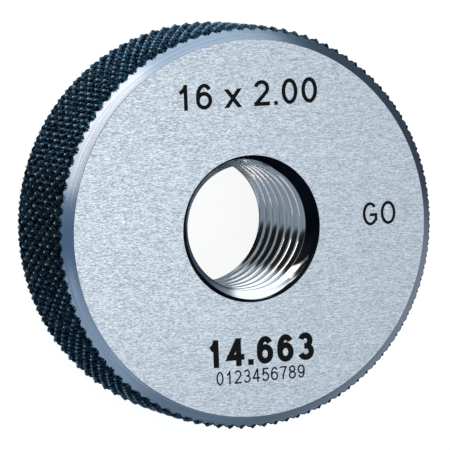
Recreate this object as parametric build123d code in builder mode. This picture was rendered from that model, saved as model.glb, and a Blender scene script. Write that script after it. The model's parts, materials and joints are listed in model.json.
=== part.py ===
from build123d import *
from build123d.topology import SkipClean
from math import ceil, cos, pi, radians, sin, tan
import os

os.makedirs("parts", exist_ok=True)

# Solid go ring gauge for a coarse metric thread, hardened steel, one piece.
# It lies on its back face: origin at that face's centre, +Z along the bore, marked face up.

# Turned blank, in millimetres
RIM_DIAMETER = 45.0
THICKNESS = 16.0
RIM_CHAMFER = 1.6

# Right-hand internal thread of the ISO metric profile
THREAD_DIAMETER = 16.0
THREAD_PITCH = 2.0
THREAD_ANGLE = 60.0
MOUTH_ALLOWANCE = 0.3

# Crossed knurl on the rim, with the teeth standing up as sharp four-sided pyramids
KNURL_PITCH = 1.2
KNURL_HELIX_ANGLE = 30.0
KNURL_GROOVE_ANGLE = 90.0

rim_radius = RIM_DIAMETER / 2
face_radius = rim_radius - RIM_CHAMFER

# The fundamental triangle is cut off by a quarter of the pitch at the crest, an eighth at the root
triangle_height = THREAD_PITCH / 2 / tan(radians(THREAD_ANGLE / 2))
root_radius = THREAD_DIAMETER / 2
crest_radius = root_radius - triangle_height * 5 / 8
root_width = THREAD_PITCH / 8
groove_width = THREAD_PITCH * 3 / 4
flank_slope = tan(radians(THREAD_ANGLE / 2))
mouth_radius = root_radius + MOUTH_ALLOWANCE / 2
mouth_depth = mouth_radius - crest_radius

# Whole number of teeth round the rim, then the tooth's own sizes
teeth_around = round(pi * RIM_DIAMETER * cos(radians(KNURL_HELIX_ANGLE)) / KNURL_PITCH)
half_tooth_angle = 180 / teeth_around
half_tooth_length = KNURL_PITCH / sin(radians(KNURL_HELIX_ANGLE)) / 2
tooth_height = KNURL_PITCH / 2 / tan(radians(KNURL_GROOVE_ANGLE / 2))
rows = 2 * ceil(THICKNESS / half_tooth_length / 2) + 2
first_row_z = (THICKNESS - rows * half_tooth_length) / 2


def at(angle, radius, z):
    """A point given by its angle about the bore in degrees, its radius and its height."""
    return radius * cos(radians(angle)), radius * sin(radians(angle)), z


def knurl_point(column, row):
    """Tips and groove crossings take turns, along a column as well as across it."""
    is_tip = (column + row) % 2 == 0
    radius = rim_radius if is_tip else rim_radius - tooth_height
    return at(column * half_tooth_angle, radius, first_row_z + row * half_tooth_length)


def facet(*corners):
    """One flat face through its corners."""
    return Face(Wire.make_polygon(corners, close=True))


def half_tooth_column():
    """Half a column of teeth as a closed wedge: facets outside, flat everywhere else."""
    inner_radius = face_radius - RIM_CHAMFER
    top_z = first_row_z + rows * half_tooth_length
    inside = [[at(column * half_tooth_angle, inner_radius, z) for z in (first_row_z, top_z)] for column in (0, 1)]
    facets = []
    for row in range(rows):
        near, far = knurl_point(0, row), knurl_point(1, row)
        next_near, next_far = knurl_point(0, row + 1), knurl_point(1, row + 1)
        if row % 2 == 0:
            facets += [facet(near, far, next_near), facet(far, next_far, next_near)]
        else:
            facets += [facet(near, far, next_far), facet(near, next_far, next_near)]
    for column in (0, 1):
        edge = [knurl_point(column, row) for row in range(rows + 1)]
        facets.append(facet(*edge, inside[column][1], inside[column][0]))
    for row, end in ((0, 0), (rows, 1)):
        facets.append(facet(knurl_point(0, row), knurl_point(1, row), inside[1][end], inside[0][end]))
    facets.append(facet(inside[0][0], inside[1][0], inside[1][1], inside[0][1]))
    return Solid(Shell(facets))


# One column of teeth: the turned rim's section, kept only where the wedge of teeth is
with BuildPart() as tooth_column:
    with BuildSketch(Plane.XZ):
        with BuildLine():
            Polyline(
                (face_radius, 0),
                (rim_radius + RIM_CHAMFER, 2 * RIM_CHAMFER),
                (rim_radius + RIM_CHAMFER, THICKNESS - 2 * RIM_CHAMFER),
                (face_radius, THICKNESS),
                close=True,
            )
        make_face()
    revolve(axis=Axis.Z)
    add(half_tooth_column(), mode=Mode.INTERSECT)
    mirror(about=Plane.XZ)

with BuildPart() as knurled_rim:
    with PolarLocations(0, teeth_around):
        add(tooth_column.part)

# One turn of the thread's groove, a little deeper inward than the crest so that it cuts clean through
with BuildPart() as groove_turn:
    overcut = root_width
    mouth_half_width = groove_width / 2 + overcut * flank_slope
    with BuildLine() as turn:
        Helix(pitch=THREAD_PITCH, height=THREAD_PITCH, radius=crest_radius)
    with BuildSketch(Plane.XZ):
        with BuildLine():
            Polyline(
                (crest_radius - overcut, -mouth_half_width),
                (root_radius, -root_width / 2),
                (root_radius, root_width / 2),
                (crest_radius - overcut, mouth_half_width),
                close=True,
            )
        make_face()
    sweep(path=turn.line, is_frenet=True)

# A quarter of the wall round the bore, out to the countersinks' mouths
with BuildPart() as quarter_bore_wall:
    with BuildSketch(Plane.XZ):
        with BuildLine():
            Polyline(
                (crest_radius, mouth_depth),
                (mouth_radius, 0),
                (mouth_radius, THICKNESS),
                (crest_radius, THICKNESS - mouth_depth),
                close=True,
            )
        make_face()
    revolve(axis=Axis.Z, revolution_arc=90)

# Joined faces aren't merged, so each thread crest stays a row of quarter-turn strips of one cylinder
turns = ceil(THICKNESS / THREAD_PITCH) + 2
with SkipClean():
    with BuildPart() as gauge_ring:
        with PolarLocations(0, 4):
            add(quarter_bore_wall.part)
        with Locations(*[(0, 0, (turn - 1) * THREAD_PITCH) for turn in range(turns)]):
            add(groove_turn.part, mode=Mode.SUBTRACT)
        with BuildSketch():
            Circle(face_radius)
            Circle(mouth_radius, mode=Mode.SUBTRACT)
        extrude(amount=THICKNESS)
        add(knurled_rim.part)

gauge_ring.part.label = "gauge_ring"
export_step(gauge_ring.part, "parts/gauge_ring.step")
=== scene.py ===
import bmesh
import bpy
import json
import numpy as np
from math import cos, radians, sin
from mathutils import Matrix, Vector


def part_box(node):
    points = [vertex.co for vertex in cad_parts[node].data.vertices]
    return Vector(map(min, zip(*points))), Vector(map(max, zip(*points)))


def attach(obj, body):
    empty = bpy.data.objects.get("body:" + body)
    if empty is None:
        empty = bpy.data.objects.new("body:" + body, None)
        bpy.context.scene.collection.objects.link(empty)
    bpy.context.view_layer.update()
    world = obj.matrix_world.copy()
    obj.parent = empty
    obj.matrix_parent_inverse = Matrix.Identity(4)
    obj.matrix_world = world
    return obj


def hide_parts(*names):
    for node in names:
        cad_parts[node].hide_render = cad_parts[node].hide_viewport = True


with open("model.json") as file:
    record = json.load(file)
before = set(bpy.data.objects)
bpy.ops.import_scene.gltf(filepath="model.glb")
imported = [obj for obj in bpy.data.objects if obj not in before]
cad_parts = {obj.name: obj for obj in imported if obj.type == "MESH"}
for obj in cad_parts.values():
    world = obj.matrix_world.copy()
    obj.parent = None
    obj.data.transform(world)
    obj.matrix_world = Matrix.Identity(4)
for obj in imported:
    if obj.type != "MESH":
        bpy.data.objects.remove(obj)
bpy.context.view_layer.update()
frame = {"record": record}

# Gauge ring. One blank of tool steel, turned, knurled, threaded right through, countersunk at both
# mouths, hardened and blackened, then ground on its faces, turned on its chamfers and lapped bright in
# its bore. One closed mesh stands for the solid: its box, bore and countersinks come from the frame.
RIM_CHAMFER = 0.0016
THREAD_DIAMETER = 0.016
THREAD_PITCH = 0.002
TEETH_AROUND = 102
TOOTH_HEIGHT = 0.0006
HALF_TOOTH_LENGTH = 0.0012
TIP_SHARE = 0.15
EDGE_BREAK = 0.00003
BLACK_EDGE = 0.00018
MARK_HEIGHT = 0.000005
WELD = 1e-7
RING_SHARP_FROM = radians(25)

low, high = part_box("gauge_ring")
bore = next(m for m in frame["record"]["mounts"] if m["name"] == "thread_bore")
rim_radius = (high.x - low.x) / 2
thickness = high.z - MARK_HEIGHT
face_radius = rim_radius - RIM_CHAMFER
crest_radius = bore["dims"]["r_mm"] / 1000
root_radius = THREAD_DIAMETER / 2
mouth_depth = (high.z - bore["dims"]["length_mm"] / 1000) / 2
mouth_radius = crest_radius + mouth_depth

# Columns of the grids: round the rim they divide each half tooth beside its edges, and in the bore there
# are half as many at even steps
within_tooth = np.array([0, TIP_SHARE, 1 - TIP_SHARE])
across = np.append((np.arange(2 * TEETH_AROUND)[:, None] + within_tooth).ravel(), 2 * TEETH_AROUND)
rim_angle = across * np.pi / TEETH_AROUND
bore_angle = np.linspace(0, 2 * np.pi, len(rim_angle) // 2 + 1)

# Numbers of the finishes, in the order in which the mesh gets its materials
GROUND, TURNED, BLACKENED, POLISHED = range(4)


def on_circles(angle, radius, z):
    """Points from their angle about the bore, their radius and their height, arrays of one shape."""
    return np.stack(np.broadcast_arrays(radius * np.cos(angle), radius * np.sin(angle), z), axis=-1)


def strips(points, finish, rising=False):
    """Triangles between the rows of a grid of points, two to each cell, all of one finish. A cell is cut
    from its lower right to its upper left corner, or from lower left to upper right where rising is true."""
    rows, columns = points.shape[:2]
    index = np.arange(rows * columns).reshape(rows, columns)
    a, b, c, d = index[:-1, :-1], index[:-1, 1:], index[1:, 1:], index[1:, :-1]
    rising = np.broadcast_to(rising, a.shape)
    first = np.where(rising, (a, b, c), (a, b, d))
    second = np.where(rising, (a, c, d), (b, c, d))
    triangles = np.concatenate([first.reshape(3, -1), second.reshape(3, -1)], axis=1).T
    return points.reshape(-1, 3), triangles, np.broadcast_to(finish, len(triangles))


def in_scene(name, data):
    """A new object of the scene, which holds a mesh, a lamp or a camera."""
    made = bpy.data.objects.new(name, data)
    bpy.context.scene.collection.objects.link(made)
    return made


def welded(name, patches, sharp_from):
    """One closed mesh from several patches whose edges meet: points nearer than the weld become one, and
    triangles that lose their area go. Edges that turn by more than an angle are sharp, and so are those
    between two finishes."""
    starts = np.cumsum([0] + [len(places) for places, _, _ in patches])
    triangles = np.concatenate([corners + start for (_, corners, _), start in zip(patches, starts)])
    finishes = np.concatenate([finish for _, _, finish in patches])
    mesh = bpy.data.meshes.new(name)
    mesh.from_pydata(np.concatenate([places for places, _, _ in patches]), [], triangles)
    mesh.polygons.foreach_set("material_index", finishes)
    mesh.polygons.foreach_set("use_smooth", np.ones(len(triangles), bool))
    solid = bmesh.new()
    solid.from_mesh(mesh)
    bmesh.ops.remove_doubles(solid, verts=solid.verts, dist=WELD)
    solid.to_mesh(mesh)
    solid.free()
    mesh.set_sharp_from_angle(angle=sharp_from)
    finish_of_face = np.empty(len(mesh.polygons), int)
    mesh.polygons.foreach_get("material_index", finish_of_face)
    finish_of_corner = np.repeat(finish_of_face, 3)
    edge_of_corner = np.empty(len(mesh.loops), int)
    mesh.loops.foreach_get("edge_index", edge_of_corner)
    sharp = np.empty(len(mesh.edges), bool)
    mesh.edges.foreach_get("use_edge_sharp", sharp)
    least, most = np.full(len(sharp), finishes.max()), np.full(len(sharp), finishes.min())
    np.minimum.at(least, edge_of_corner, finish_of_corner)
    np.maximum.at(most, edge_of_corner, finish_of_corner)
    mesh.edges.foreach_set("use_edge_sharp", sharp | (least < most))
    return in_scene(name, mesh)


def thread_radius(along):
    """Radius of the wall at a distance along the bore from a groove's middle: a trapezoid between root and
    crest, with a root flat of an eighth of the pitch and flanks of five sixteenths. Its corners are
    rounded, each clamp being a hyperbola that nears the flat and the flank."""
    rounding = 0.05
    root_half_width, flank_length = THREAD_PITCH / 16, THREAD_PITCH * 5 / 16
    climb = (np.abs(along) - root_half_width) / flank_length
    above = (climb + np.sqrt(climb**2 + rounding**2)) / 2
    over = (climb - 1 + np.sqrt((climb - 1) ** 2 + rounding**2)) / 2
    return root_radius - (root_radius - crest_radius) * np.clip(above - over, 0, 1)


def bore_wall():
    """The threaded wall. Rows climb one pitch a turn, so they run along roots, flanks and crests, closer
    where the profile bends. The radius is the thread's or, near a mouth, its cone's if that is wider.
    Where the cone stops along a column, its last point slides to the crossing, found by a straight line
    between two rows."""
    shares_of_half_pitch = np.array([0.0, 0.09, 0.17, 0.32, 0.48, 0.62, 0.71, 0.78, 0.88])
    half_pitch = THREAD_PITCH / 2 * shares_of_half_pitch
    along_pitch = np.concatenate([half_pitch, THREAD_PITCH - half_pitch[:0:-1]])
    along = np.where(along_pitch > THREAD_PITCH / 2, along_pitch - THREAD_PITCH, along_pitch)
    turns_below, turns_above = 1, 1
    turns = int(np.ceil(thickness / THREAD_PITCH)) + turns_below + turns_above
    starts = (np.arange(turns)[:, None] - turns_below) * THREAD_PITCH + along_pitch
    z = starts.reshape(-1, 1) + bore_angle / (2 * np.pi) * THREAD_PITCH
    radius = np.broadcast_to(np.tile(thread_radius(along), turns)[:, None], z.shape).copy()
    gap = radius - (mouth_radius - np.minimum(z, thickness - z))
    coned = gap < 0
    all_but_last, all_but_first = slice(None, -1), slice(1, None)
    for near, far in ((all_but_last, all_but_first), (all_but_first, all_but_last)):
        last = coned[near] & ~coned[far]
        share = np.where(last, gap[near] / np.where(last, gap[near] - gap[far], 1), 0)
        moved_z = z[near] + (z[far] - z[near]) * share
        moved_radius = radius[near] + (radius[far] - radius[near]) * share
        z[near] = np.where(last, moved_z, z[near])
        radius[near] = np.where(last, moved_radius, radius[near])
    z = np.clip(z, 0, thickness)
    radius = np.maximum(radius, mouth_radius - np.minimum(z, thickness - z))
    return strips(on_circles(bore_angle, radius, z)[::-1], POLISHED)


def face(z, upward):
    """A flat ring from the mouth to the edge break, with a row close beside each edge. Its rows have the
    rim's columns, and the first has each of the bore's points twice, so that the two counts meet."""
    mouth = on_circles(bore_angle[np.arange(len(rim_angle)) // 2], mouth_radius, z)
    inner, outer = mouth_radius + 2 * EDGE_BREAK, face_radius - 3 * EDGE_BREAK
    radii = np.array([inner, (mouth_radius + face_radius) / 2, outer, face_radius - EDGE_BREAK])
    rows = np.concatenate([mouth[None], on_circles(rim_angle, radii[:, None], z)])
    return strips(rows[::-1] if upward else rows, GROUND)


def rim():
    """The knurl between its two chamfers. Height over the grooves is the smaller distance to the two
    crossed families of grooves, softened along ridges and flattened at tips, and cells are cut along the
    grooves. Rows beyond the line where a chamfer cuts a column fall onto that line, which gives the
    chamfer its saw-toothed edge, and a narrow band of the black finish is left along it. The chamfer's
    edge with the face is broken by a curve."""
    half_teeth_up = 2 * int(np.ceil(thickness / HALF_TOOTH_LENGTH / 2)) + 2
    up = np.append((np.arange(half_teeth_up)[:, None] + within_tooth).ravel(), half_teeth_up)[:, None]
    first_z = (thickness - half_teeth_up * HALF_TOOTH_LENGTH) / 2
    row_z = first_z + up * HALF_TOOTH_LENGTH
    halvings = 30

    def knurl_radius(z):
        """Radius at a height, for each column."""
        level = (z - first_z) / HALF_TOOTH_LENGTH
        one, other = (1 - np.abs((wave + 1) % 2 - 1) for wave in (level + across, level - across))
        roof = (one + other - np.sqrt((one - other) ** 2 + TIP_SHARE**2)) / 2 + TIP_SHARE / 4
        return rim_radius - TOOTH_HEIGHT * (1 - np.clip(roof / (1 - TIP_SHARE), 0, 1))

    def crossing(at_top):
        """Height where a chamfer meets the knurl in each column, by halving the stretch that holds it."""
        near = np.zeros(len(across))
        far = np.full(len(across), RIM_CHAMFER)
        for _ in range(halvings):
            middle = (near + far) / 2
            z = thickness - middle if at_top else middle
            below = face_radius + middle < knurl_radius(z)
            near, far = np.where(below, middle, near), np.where(below, far, middle)
        return thickness - near if at_top else near

    bottom, top = crossing(False), crossing(True)
    z = np.clip(row_z, bottom, top)
    knurl = on_circles(rim_angle, knurl_radius(z), z)
    row, column = (np.arange(count - 1) // len(within_tooth) for count in (len(up), len(across)))
    patches = [strips(knurl, BLACKENED, (row[:, None] + column) % 2 == 1)]
    break_out = EDGE_BREAK * np.array([-1, -0.4, 0.25, 1])[:, None]
    break_down = EDGE_BREAK * np.array([0, 0.12, 0.45, 1])[:, None]
    for edge, at_top in ((bottom, False), (top, True)):
        broken_z = thickness - break_down if at_top else break_down
        broken = on_circles(rim_angle, face_radius + break_out, broken_z)
        cut = on_circles(rim_angle, face_radius + (thickness - edge if at_top else edge), edge)
        slope = cut - broken[-1]
        black_from = cut - slope * BLACK_EDGE / np.linalg.norm(slope, axis=1)[:, None]
        for rows, finish in (([*broken, black_from], TURNED), ([black_from, cut], BLACKENED)):
            patches.append(strips(np.stack(rows[::-1] if at_top else rows), finish))
    return patches


ring_patches = [bore_wall(), face(thickness, True), face(0, False), *rim()]
ring = welded("gauge_ring_dressed", ring_patches, RING_SHARP_FROM)
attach(ring, "root")
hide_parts("gauge_ring")


def feed(made, inputs):
    """Each named input of a node gets a value or another node's output."""
    for name, value in inputs.items():
        if isinstance(value, bpy.types.NodeSocket):
            made.id_data.links.new(value, made.inputs[name])
        else:
            made.inputs[name].default_value = value


def node(tree, kind, inputs=None, **settings):
    """A shader node with its settings and inputs."""
    made = tree.nodes.new("ShaderNode" + kind)
    for name, value in settings.items():
        setattr(made, name, value)
    feed(made, inputs or {})
    return made


def math(tree, operation, first, second=0.0):
    """The result of one operation on two numbers, or on the first alone."""
    return node(tree, "Math", {0: first, 1: second}, operation=operation).outputs[0]


def diagonal(tree, x, y):
    """Square root of the sum of two numbers' squares."""
    return math(tree, "SQRT", math(tree, "ADD", math(tree, "MULTIPLY", x, x), math(tree, "MULTIPLY", y, y)))


def ramp(tree, value, start, stop, low_result=0.0, high_result=1.0):
    """A value carried from one range to another with soft ends."""
    ends = {"From Min": start, "From Max": stop, "To Min": low_result, "To Max": high_result}
    carried = node(tree, "MapRange", {"Value": value, **ends}, interpolation_type="SMOOTHSTEP")
    return carried.outputs["Result"]


def past(tree, value, limit, softness):
    """One where a value is past a limit and nought before it, or the reverse if softness is negative."""
    return ramp(tree, value, limit - softness, limit + softness)


def spread(tree, speckle, low_result=0.0, high_result=1.0):
    """A noise, which mostly keeps between 0.3 and 0.7, spread over a whole range."""
    return ramp(tree, speckle, 0.3, 0.7, low_result, high_result)


def mixed(tree, share, first, second):
    """A colour between two, by a share."""
    made = node(tree, "Mix", {"Factor": share}, data_type="RGBA")
    for socket, colour in zip((s for s in made.inputs if s.type == "RGBA"), (first, second)):
        if isinstance(colour, bpy.types.NodeSocket):
            tree.links.new(colour, socket)
        else:
            socket.default_value = (*colour, 1)
    return next(s for s in made.outputs if s.type == "RGBA")


def own_place(tree):
    """A point of a piece in its object's own coordinates."""
    return node(tree, "TexCoord").outputs["Object"]


def apart(tree, vector):
    """X, Y and Z of a vector."""
    return node(tree, "SeparateXYZ", {0: vector}).outputs


def noise(tree, place, scale=1.0, detail=3.0, roughness=0.6):
    """Noise at a place."""
    inputs = {"Vector": place, "Scale": scale, "Detail": detail, "Roughness": roughness}
    return node(tree, "TexNoise", inputs).outputs["Fac"]


def bump(tree, height, strength, distance):
    """The normal of a surface roughened by a height."""
    inputs = {"Height": height, "Strength": strength, "Distance": distance}
    return node(tree, "Bump", inputs).outputs["Normal"]


def material_of(name, constants):
    """A new material with its node tree and its Principled shader, whose constant inputs are set."""
    material = bpy.data.materials.new(name)
    material.use_nodes = True
    shader = material.node_tree.nodes["Principled BSDF"]
    feed(shader, constants)
    return material, material.node_tree, shader


def effect(name, inputs, outputs):
    """An empty node group with float inputs and outputs: its tree, what it is given and its output node."""
    tree = bpy.data.node_groups.new(name, "ShaderNodeTree")
    socket_type = "NodeSocketFloat"
    for label, value in inputs.items():
        tree.interface.new_socket(label, in_out="INPUT", socket_type=socket_type).default_value = value
    for label in outputs:
        tree.interface.new_socket(label, in_out="OUTPUT", socket_type=socket_type)
    return tree, tree.nodes.new("NodeGroupInput").outputs, tree.nodes.new("NodeGroupOutput")


def placed(tree, effect_tree, inputs=None):
    """The outputs of an effect placed in a material, with the material's own values."""
    return node(tree, "Group", inputs, node_tree=effect_tree).outputs


# Distance of a point of the steel from the bore's axis, and tool lines that run round that axis. They are
# counted along the radius and, more slowly, up the height, and fade and return a few times in each turn.
LINES_UP = 0.35
effect_inputs = {"Lines a metre": 9000.0, "Breaks a turn": 3.0}
around, given, result = effect("lines_round_the_axis", effect_inputs, ["Radius", "Lines"])
x, y, z = apart(around, own_place(around))
radius = diagonal(around, x, y)
counted = math(around, "ADD", radius, math(around, "MULTIPLY", z, LINES_UP))
across_lines = math(around, "MULTIPLY", counted, given["Lines a metre"])
turned_x, turned_y = (
    math(around, "MULTIPLY", math(around, "DIVIDE", side, radius), given["Breaks a turn"])
    for side in (x, y)
)
flow = node(around, "CombineXYZ", {0: across_lines, 1: turned_x, 2: turned_y}).outputs[0]
feed(result, {"Radius": radius, "Lines": noise(around, flow)})

# Strokes all one way: noise drawn out along X, with so many of its cells in a metre along X and Z, and so
# many across them on Y
effect_inputs = {"Cells along": 1000.0, "Cells across": 10000.0, "Detail": 1.0}
one_way, given, result = effect("strokes_one_way", effect_inputs, ["Strokes"])
along, across_strokes = given["Cells along"], given["Cells across"]
cells = node(one_way, "CombineXYZ", {0: along, 1: across_strokes, 2: along}).outputs[0]
drawn_out = node(one_way, "Mapping", {"Vector": own_place(one_way), "Scale": cells}).outputs[0]
feed(result, {"Strokes": noise(one_way, drawn_out, detail=given["Detail"])})

# Faces ground on a surface grinder: short bright and dark strokes over longer ones, all one way, and
# rougher where they are dark
SHORT_SHARE, LONG_SHARE = 0.66, 0.34
DARK_UNDER, LIGHT_OVER = 0.34, 0.66
DARK_STROKE, LIGHT_STROKE = (0.36, 0.43, 0.50), (0.80, 0.85, 0.89)
ground_steel, tree, shader = material_of("ground_steel", {"Metallic": 1.0})
short = {"Cells along": 3400.0, "Cells across": 15000.0, "Detail": 2.0}
long = {"Cells along": 1100.0, "Cells across": 13000.0, "Detail": 1.0}
short_strokes, long_strokes = (placed(tree, one_way, inputs)["Strokes"] for inputs in (short, long))
short_part = math(tree, "MULTIPLY", short_strokes, SHORT_SHARE)
grain = math(tree, "ADD", short_part, math(tree, "MULTIPLY", long_strokes, LONG_SHARE))
feed(shader, {
    "Base Color": mixed(tree, ramp(tree, grain, DARK_UNDER, LIGHT_OVER), DARK_STROKE, LIGHT_STROKE),
    "Roughness": spread(tree, short_strokes, 0.42, 0.28),
    "Normal": bump(tree, grain, strength=0.2, distance=0.00002),
})

# Chamfers turned last, through the black finish, and left a dull blue grey with rings from the tool. A
# clear coat gives them the sheen of the thin oxide.
DARK_RING, LIGHT_RING = (0.13, 0.23, 0.36), (0.22, 0.34, 0.48)
coated = {"Metallic": 0.85, "Coat Weight": 1, "Coat IOR": 1.9, "Coat Roughness": 0.2}
turned_steel, tree, shader = material_of("turned_steel", coated)
lines = placed(tree, around, {"Lines a metre": 14000.0, "Breaks a turn": 2.0})["Lines"]
feed(shader, {
    "Base Color": mixed(tree, spread(tree, lines), DARK_RING, LIGHT_RING),
    "Roughness": spread(tree, lines, 0.38, 0.25),
    "Normal": bump(tree, lines, strength=0.35, distance=0.00003),
})

# Black finish on the knurl, mottled blue black. By height it is painted lighter, blue grey, along the ridges
# and darker down the flanks: painted light and painted shade. The tips are worn in patches to bright steel
# and painted near white as a painted glint, less metallic so that they stay light from every side.
LIT_RIDGES_FROM, LIT_RIDGES_FULL = rim_radius - 0.00028, rim_radius - 0.00004
WORN_GLINT_FROM, WORN_GLINT_FULL = rim_radius - 0.00008, rim_radius - 0.00001
PATCHES_A_METRE, SPECKS_A_METRE = 900.0, 4500.0
FLANK_RANGE, RIDGE_RANGE, WEAR_RANGE = (0.46, 0.66), (0.35, 0.65), (0.34, 0.58)
LEAST_WEAR = 0.25
METALLIC_BLACK, METALLIC_TIP = 0.8, 0.25
DARK_FLANK, LIGHT_FLANK = (0.002, 0.006, 0.014), (0.130, 0.270, 0.400)
DARK_LIT_RIDGE, LIGHT_LIT_RIDGE = (0.030, 0.110, 0.200), (0.210, 0.370, 0.500)
WORN_GLINT_TIP = (0.84, 0.96, 1.0)
dull = {"Specular Tint": (0.12, 0.20, 0.28, 1), "Specular IOR Level": 0}
blackened_steel, tree, shader = material_of("blackened_steel", dull)
radius = placed(tree, around)["Radius"]
place = own_place(tree)
patchy = noise(tree, place, PATCHES_A_METRE, roughness=0.5)
specks = noise(tree, place, SPECKS_A_METRE, roughness=0.5)
flank = mixed(tree, ramp(tree, specks, *FLANK_RANGE), DARK_FLANK, LIGHT_FLANK)
painted_lit_ridge = mixed(tree, ramp(tree, patchy, *RIDGE_RANGE), DARK_LIT_RIDGE, LIGHT_LIT_RIDGE)
# painted shade down the flanks and painted light along the ridges, by height
black_and_painted_shade = mixed(tree, ramp(tree, radius, LIT_RIDGES_FROM, LIT_RIDGES_FULL), flank, painted_lit_ridge)
wear = ramp(tree, patchy, *WEAR_RANGE, LEAST_WEAR)
# tips worn in patches to bright steel, and painted near white as a painted glint
worn_and_glint = math(tree, "MULTIPLY", ramp(tree, radius, WORN_GLINT_FROM, WORN_GLINT_FULL), wear)
feed(shader, {
    "Base Color": mixed(tree, worn_and_glint, black_and_painted_shade, WORN_GLINT_TIP),
    "Metallic": ramp(tree, worn_and_glint, 0, 1, METALLIC_BLACK, METALLIC_TIP),
    "Roughness": spread(tree, patchy, 0.20, 0.34),
})

# Thread and countersinks lapped bright inside an oval a little off the axis and a smaller circle. Outside
# them, and in one patch, each countersink is painted black in a ring that is wide on two sides: painted dark
# reflection. A narrow ring of the black finish is left along the mouth.
LAP_MIDDLE, LAP_HALF_WIDTHS, LAP_ANGLE = (-0.00033, -0.00006), (0.00708, 0.00795), radians(23)
LAP_SOFTNESS = 0.004
AGAIN_MIDDLE, AGAIN_RADIUS = (0.00177, -0.00177), 0.00535
DARK_PATCH_MIDDLE, DARK_PATCH_RADIUS, DARK_PATCH_SOFTNESS = (0.00454, -0.00178), 0.0030, 0.0002
NARROW_RING = 0.00021
RING_SOFTNESS = 0.00003
DARK_LAPPED, LIGHT_LAPPED = (0.64, 0.71, 0.77), (0.83, 0.88, 0.92)
# black of the finish along the mouth and of the painted dark reflection in the countersinks
BLACK_AND_DARK_REFLECTION, LEFT_ROUGHNESS = (0.004, 0.006, 0.010), 0.4
polished_steel, tree, shader = material_of("polished_steel", {"Metallic": 1.0})
lines = placed(tree, around, {"Lines a metre": 9000.0, "Breaks a turn": 1.5})["Lines"]
x, y, z = apart(tree, own_place(tree))
aside = [math(tree, "SUBTRACT", side, middle) for side, middle in zip((x, y), LAP_MIDDLE)]
lap_axes = ((cos(LAP_ANGLE), sin(LAP_ANGLE)), (-sin(LAP_ANGLE), cos(LAP_ANGLE)))
shares = [
    math(tree, "ADD", *(math(tree, "MULTIPLY", aside[i], axis[i] / half_width) for i in (0, 1)))
    for axis, half_width in zip(lap_axes, LAP_HALF_WIDTHS)
]
flat_place = node(tree, "CombineXYZ", {0: x, 1: y}).outputs[0]
from_again, from_dark_patch = (
    node(tree, "VectorMath", {0: flat_place, 1: (*middle, 0)}, operation="DISTANCE").outputs["Value"]
    for middle in (AGAIN_MIDDLE, DARK_PATCH_MIDDLE)
)
# black off the oval, outside the circle and in the patch: painted dark reflection in the countersinks
dark_reflection_off_lap = past(tree, diagonal(tree, *shares), 1, LAP_SOFTNESS)
dark_reflection_off_again = past(tree, from_again, AGAIN_RADIUS, RING_SOFTNESS)
dark_reflection_patch = past(tree, from_dark_patch, DARK_PATCH_RADIUS, -DARK_PATCH_SOFTNESS)
unlapped_and_dark_reflection = math(tree, "MAXIMUM", dark_reflection_patch, math(tree, "MINIMUM", dark_reflection_off_again, dark_reflection_off_lap))
from_half_height = math(tree, "ABSOLUTE", math(tree, "SUBTRACT", z, thickness / 2))
in_cone = math(tree, "GREATER_THAN", from_half_height, thickness / 2 - mouth_depth)
narrow = past(tree, from_half_height, thickness / 2 - NARROW_RING, RING_SOFTNESS)
# adds the narrow ring of black finish along the mouth to the painted dark reflection
unlapped_and_dark_reflection = math(tree, "MAXIMUM", math(tree, "MULTIPLY", unlapped_and_dark_reflection, in_cone), narrow)
lapped = mixed(tree, spread(tree, lines), DARK_LAPPED, LIGHT_LAPPED)
left_rough = math(tree, "MULTIPLY", unlapped_and_dark_reflection, LEFT_ROUGHNESS)
feed(shader, {
    "Base Color": mixed(tree, unlapped_and_dark_reflection, lapped, BLACK_AND_DARK_REFLECTION),
    "Roughness": math(tree, "MAXIMUM", spread(tree, lines, 0.15, 0.07), left_rough),
})

for material in (ground_steel, turned_steel, blackened_steel, polished_steel):
    ring.data.materials.append(material)

# Marks on the face: the size above, the word that tells which end of the limit the ring checks, and
# plain figures below. They are burnt black by a laser, so they stand a few microns over the ground steel.
MARKS_DEEP = 0.00001
MARKS_SHARP_FROM = radians(30)
STROKE_STEP = 5e-7
GLYPH_GAP = 0.155
DIGIT_WIDTH = 0.62
BURNT = 0


def arc(center_x, center_y, half_width, half_height, start=0, stop=360):
    """Points of an oval between two angles in degrees, one for about every nine and eight more."""
    angle = np.radians(np.linspace(start, stop, 8 + int(abs(stop - start) / 9)))
    return np.stack([center_x + half_width * np.cos(angle), center_y + half_height * np.sin(angle)], axis=1)


def path(*points):
    """A curved stroke through points or arcs of points, in a box one unit wide and high."""
    return "path", np.concatenate([np.atleast_2d(p) for p in points])


def bar(*ends):
    """A straight stroke between two points, cut level at the line and at the cap."""
    return "bar", np.reshape(ends, (2, 2))


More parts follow.
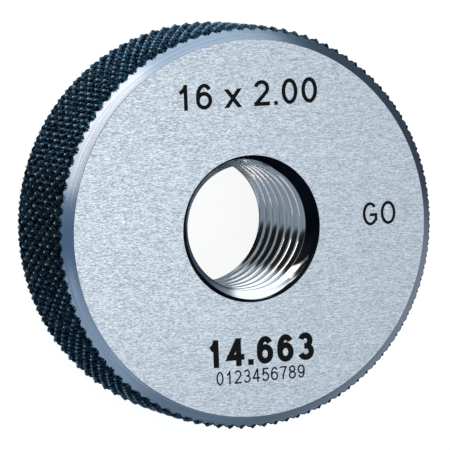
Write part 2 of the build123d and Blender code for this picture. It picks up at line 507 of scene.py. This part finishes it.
# Each glyph's width as a share of its height, and its strokes in a box one unit wide and high
SIX = [path(arc(0.5, 0.315, 0.5, 0.315)), path((0, 0.33), arc(0.53, 0.5, 0.53, 0.5, 180, 38))]
GLYPHS = {
    "0": (DIGIT_WIDTH, [path(arc(0.5, 0.5, 0.5, 0.5))]),
    "1": (DIGIT_WIDTH, [
        bar(0.64, 0, 0.64, 1),
        path((0.62, 0.98), (0.50, 0.86), (0.34, 0.77), (0.16, 0.71)),
    ]),
    "2": (DIGIT_WIDTH, [
        bar(0, 0, 1, 0),
        path(arc(0.5, 0.715, 0.48, 0.285, 165, -38), (0.60, 0.36), (0.02, 0.02)),
    ]),
    "3": (DIGIT_WIDTH, [
        path(arc(0.47, 0.755, 0.43, 0.245, 160, -90), (0.36, 0.51)),
        path(arc(0.5, 0.26, 0.5, 0.26, 90, -160)),
    ]),
    "4": (0.66, [bar(0.74, 0, 0.74, 1), bar(0, 0.27, 1, 0.27), bar(0.68, 1, 0, 0.27)]),
    "5": (DIGIT_WIDTH, [
        bar(0.18, 1, 0.92, 1),
        bar(0.18, 1, 0.08, 0.5),
        path(arc(0.48, 0.325, 0.52, 0.325, 148, -158)),
    ]),
    "6": (DIGIT_WIDTH, SIX),
    "7": (DIGIT_WIDTH, [bar(0, 1, 1, 1), path((0.98, 0.99), (0.72, 0.68), (0.50, 0.34), (0.40, -0.04))]),
    "8": (DIGIT_WIDTH, [path(arc(0.5, 0.765, 0.43, 0.235)), path(arc(0.5, 0.265, 0.5, 0.265))]),
    "9": (DIGIT_WIDTH, [(kind, 1 - points) for kind, points in SIX]),
    "x": (0.56, [bar(0, 0, 1, 0.68), bar(0, 0.68, 1, 0)]),
    "G": (0.74, [
        path(arc(0.5, 0.5, 0.5, 0.5, 40, 312), (0.97, 0.21)),
        bar(0.97, 0.22, 0.97, 0.45),
        bar(0.58, 0.45, 0.97, 0.45),
    ]),
    "O": (0.74, [path(arc(0.5, 0.5, 0.5, 0.5))]),
    ".": (0.16, [bar(0.5, 0, 0.5, 0)]),
    " ": (0.22, []),
}


def sides(kind, points, stroke):
    """Left and right edges of a stroke, and whether it closes on itself. A path is offset along its
    normals. A bar is a slanted band with level ends, or a level band with upright ones."""
    if kind == "path":
        closed = np.allclose(points[0], points[-1])
        run = np.gradient(points, axis=0)
        if closed:
            run[0] = run[-1] = points[1] - points[-2]
        normal = np.stack([-run[:, 1], run[:, 0]], axis=1) / np.linalg.norm(run, axis=1)[:, None]
        return points + normal * stroke / 2, points - normal * stroke / 2, closed
    run = points[1] - points[0]
    if np.isclose(run[1], 0):
        reach, offset = np.array([stroke / 2, 0]), np.array([0, stroke / 2])
    else:
        slope = run[0] / run[1]
        reach = np.array([slope, 1]) * np.sign(run[1]) * stroke / 2
        offset = np.array([-np.sign(run[1]) * np.hypot(1, slope) * stroke / 2, 0])
    ends = np.array([points[0] - reach, points[1] + reach])
    return ends + offset, ends - offset, False


def mark(text, left, right, line, height, stroke):
    """Slabs for a line of marks between two X values. Each stroke of a glyph ends a step lower than the one
    before it, so that no two of its tops lie in one plane. A stroke that doesn't close on itself has each
    end closed by a cell of its four corners."""
    widths = np.array([GLYPHS[letter][0] for letter in text])
    natural = (widths.sum() + GLYPH_GAP * (len(text) - 1)) * height
    squeeze = (right - left) / natural
    starts = left + np.append(0, np.cumsum(widths + GLYPH_GAP)[:-1]) * height * squeeze
    bottom = high.z - MARK_HEIGHT - MARKS_DEEP
    slabs = []
    for letter, start in zip(text, starts):
        width, strokes = GLYPHS[letter]
        room = np.array([width * height * squeeze, height]) - stroke
        for order, (kind, points) in enumerate(strokes):
            one, other, closed = sides(kind, np.array([start, line]) + stroke / 2 + points * room, stroke)
            top = high.z - order * STROKE_STEP
            corners = ((one, top), (other, top), (other, bottom), (one, bottom), (one, top))
            tube = np.stack([np.insert(edge, 2, z, axis=1) for edge, z in corners], axis=1)
            slabs.append(strips(tube, BURNT))
            if not closed:
                slabs.append(strips(tube[0][[[0, 3], [1, 2]]], BURNT))
                slabs.append(strips(tube[-1][[[0, 1], [3, 2]]], BURNT))
    return slabs


marks = welded("face_marks", [
    *mark("16 x 2.00", left=-0.0084, right=0.0084, line=0.0135, height=0.00285, stroke=0.00044),
    *mark("GO", left=0.0134, right=0.0174, line=-0.00065, height=0.0026, stroke=0.00033),
    *mark("14.663", left=-0.0060, right=0.0069, line=-0.0151, height=0.0031, stroke=0.00066),
    *mark("0123456789", left=-0.0049, right=0.0057, line=-0.01705, height=0.0015, stroke=0.00018),
], MARKS_SHARP_FROM)
SOOT, WORN_SOOT = (0.002, 0.002, 0.0025), (0.010, 0.010, 0.011)
laser_black, tree, shader = material_of("laser_black", {"Specular IOR Level": 0.12})
strokes = {"Cells along": 2500.0, "Cells across": 6000.0, "Detail": 3.0}
burn = placed(tree, one_way, strokes)["Strokes"]
feed(shader, {
    "Base Color": mixed(tree, spread(tree, burn), SOOT, WORN_SOOT),
    "Roughness": spread(tree, burn, 0.5, 0.75),
})
marks.data.materials.append(laser_black)
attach(marks, "root")

# Table top. A plain pale sheet under the gauge, white to the camera, that keeps the gauge's shadow. Only
# the steel's reflections show what lies on it: black cloth on the left (-X) and in the right corner
# behind, a half dark one well in front (-Y), and a light card behind the gauge (+Y).
FLOOR_SIZE = 2.0
LEFT_CLOTH_X, LEFT_CLOTH_LIGHT = (-0.020, -0.027), 0.04
CORNER_CLOTH_X, CORNER_CLOTH_Y, CORNER_CLOTH_SHADE = (0.035, 0.050), (-0.016, 0.004), 0.9
FRONT_CLOTH_Y, FRONT_CLOTH_LIGHT = (-0.060, -0.100), 0.5
CARD_X, CARD_Y, CARD_GLOW = (0.040, 0.020), (0.018, 0.024), 0.42
SHEET_GLOW, CAMERA_GLOW = 0.27, 0.9
SHEET_GREY, CLOTH_BLACK = (0.3, 0.3, 0.3), (0.01, 0.015, 0.02)
side = FLOOR_SIZE / 2
floor_mesh = bpy.data.meshes.new("table_top")
floor_corners = [(-side, -side, 0), (side, -side, 0), (side, side, 0), (-side, side, 0)]
floor_mesh.from_pydata(floor_corners, [], [(0, 1, 2, 3)])
table_top = in_scene("table_top", floor_mesh)
matt = {"Roughness": 0.9, "Specular IOR Level": 0, "Emission Color": (1, 1, 1, 1)}
pale_sheet, tree, shader = material_of("pale_sheet", matt)
x, y, _ = apart(tree, own_place(tree))
left_light = ramp(tree, x, *LEFT_CLOTH_X, 1.0, LEFT_CLOTH_LIGHT)
front_light = ramp(tree, y, *FRONT_CLOTH_Y, 1.0, FRONT_CLOTH_LIGHT)
in_corner = math(tree, "MULTIPLY", ramp(tree, x, *CORNER_CLOTH_X), ramp(tree, y, *CORNER_CLOTH_Y))
corner_shade = math(tree, "MULTIPLY", in_corner, CORNER_CLOTH_SHADE)
uncovered = math(tree, "MULTIPLY", left_light, math(tree, "SUBTRACT", front_light, corner_shade))
on_card = math(tree, "MULTIPLY", ramp(tree, y, *CARD_Y), ramp(tree, x, *CARD_X))
glow = math(tree, "ADD", math(tree, "MULTIPLY", on_card, CARD_GLOW), SHEET_GLOW)
rays = node(tree, "LightPath").outputs
in_mirror = math(tree, "MAXIMUM", rays["Is Glossy Ray"], rays["Is Transmission Ray"])
mirrored_glow = math(tree, "MULTIPLY", in_mirror, math(tree, "MULTIPLY", glow, uncovered))
camera_glow = math(tree, "MULTIPLY", rays["Is Camera Ray"], CAMERA_GLOW)
covered = math(tree, "MULTIPLY", in_mirror, math(tree, "SUBTRACT", 1.0, uncovered))
feed(shader, {
    "Base Color": mixed(tree, covered, SHEET_GREY, CLOTH_BLACK),
    "Emission Strength": math(tree, "MAXIMUM", camera_glow, mirrored_glow),
})
floor_mesh.materials.append(pale_sheet)

# Studio. White to the camera, and round the gauge a dim room with soft panels, cards and lamps. They are
# far off, so each is a soft patch of the surround, given by the angles of its middle from +X and from the
# level and by half its width and height. A later one covers those before it.
ROOM = (0.25, 0.29, 0.33)
PANELS = [
    # azimuth, elevation, half width, half height and softness in degrees, then radiance
    (-20, 60, 32, 27, 8, (0.76, 0.81, 0.86)),  # broad panel high on the right
    (15, 8, 38, 16, 5, (0.05, 0.07, 0.10)),  # dark card on the right
    (85, 18, 29, 28, 5, (1.4, 1.4, 1.4)),  # bright panel behind
    (274, 4, 16, 12, 6, (0.38, 0.44, 0.50)),  # dim panel in front
    (226, 12, 28, 16, 5, (0.86, 0.90, 0.96)),  # panel in front on the left
    (170, 8, 26, 26, 4, (0.14, 0.23, 0.36)),  # dark blue card on the left
    (150, 47, 21, 13, 3, (0.01, 0.01, 0.01)),  # black cloth high up on the left
    (154, 21, 10, 8, 2, (3.8, 3.2, 2.9)),  # end of the long lamp
    (126, 18, 18, 9, 4, (5.0, 4.0, 3.3)),  # long lamp behind on the left
]
world = bpy.data.worlds.new("studio")
bpy.context.scene.world = world
world.use_nodes = True
tree = world.node_tree


def panel(tree, direction, under, azimuth, elevation, half_width, half_height, softness, radiance):
    """A patch laid over a colour: the direction is turned until the patch lies on X, then its angles to
    each side and up are set against the patch's."""
    turn = {"Vector": direction, "Angle": radians(-azimuth)}
    turned = node(tree, "VectorRotate", turn, rotation_type="Z_AXIS").outputs[0]
    tip = {"Vector": turned, "Angle": radians(elevation)}
    x, y, z = apart(tree, node(tree, "VectorRotate", tip, rotation_type="Y_AXIS").outputs[0])
    to_side = math(tree, "ABSOLUTE", math(tree, "ARCTAN2", y, x))
    upwards = math(tree, "ABSOLUTE", math(tree, "ARCSINE", z))
    beside = math(tree, "SUBTRACT", to_side, radians(half_width))
    above = math(tree, "SUBTRACT", upwards, radians(half_height))
    inside = past(tree, math(tree, "MAXIMUM", beside, above), 0, -radians(softness))
    return mixed(tree, inside, under, radiance)


direction = node(tree, "TexCoord").outputs["Generated"]
surround = ROOM
for measures in PANELS:
    surround = panel(tree, direction, surround, *measures)
lit = node(tree, "Background", {"Color": surround}).outputs[0]
white = node(tree, "Background", {"Color": (1, 1, 1, 1)}).outputs[0]
camera_ray = node(tree, "LightPath").outputs["Is Camera Ray"]
shown = node(tree, "MixShader", {0: camera_ray, 1: lit, 2: white}).outputs[0]
tree.links.new(shown, tree.nodes["World Output"].inputs["Surface"])

# Lamp. A small soft one nearer by, over the gauge's right side and turned across it, which makes the
# face a little lighter towards its upper left.
LAMP_SIZE, LAMP_WATTS, LAMP_COLOUR = 0.06, 0.011, (1, 0.97, 0.92)
LAMP_PLACE, LAMP_AIM = Vector((0.040, -0.008, 0.200)), Vector((-0.010, 0.008, 0.016))
lamp_data = bpy.data.lights.new("soft_lamp", "AREA")
lamp_data.size, lamp_data.energy, lamp_data.color = LAMP_SIZE, LAMP_WATTS, LAMP_COLOUR
lamp_turn = (LAMP_PLACE - LAMP_AIM).to_track_quat("Z", "Y").to_matrix().to_4x4()
lamp = in_scene("soft_lamp", lamp_data)
lamp.matrix_world = Matrix.Translation(LAMP_PLACE) @ lamp_turn

# Camera. It looks down on the marked face at the photograph's angle, from far off through a long lens,
# and is rolled a little to the side.
AZIMUTH, ELEVATION, ROLL = radians(-104.85), radians(67.55), radians(2.18)
CAMERA_PLACE = Vector((-0.1663, 0.0439, 0.4244))
FOCAL_LENGTH = 321.3
back = Vector((sin(AZIMUTH) * cos(ELEVATION), -cos(AZIMUTH) * cos(ELEVATION), sin(ELEVATION)))
upright = (Vector((0, 1, 0)) - back * back.y).normalized()
level = upright.cross(back)
right = level * cos(ROLL) - upright * sin(ROLL)
up = upright * cos(ROLL) + level * sin(ROLL)
camera_data = bpy.data.cameras.new("camera")
camera_data.lens = FOCAL_LENGTH
camera = in_scene("camera", camera_data)
camera.matrix_world = Matrix.Translation(CAMERA_PLACE) @ Matrix((right, up, back)).transposed().to_4x4()
bpy.context.scene.camera = camera
bpy.context.scene.view_settings.view_transform = "Standard"
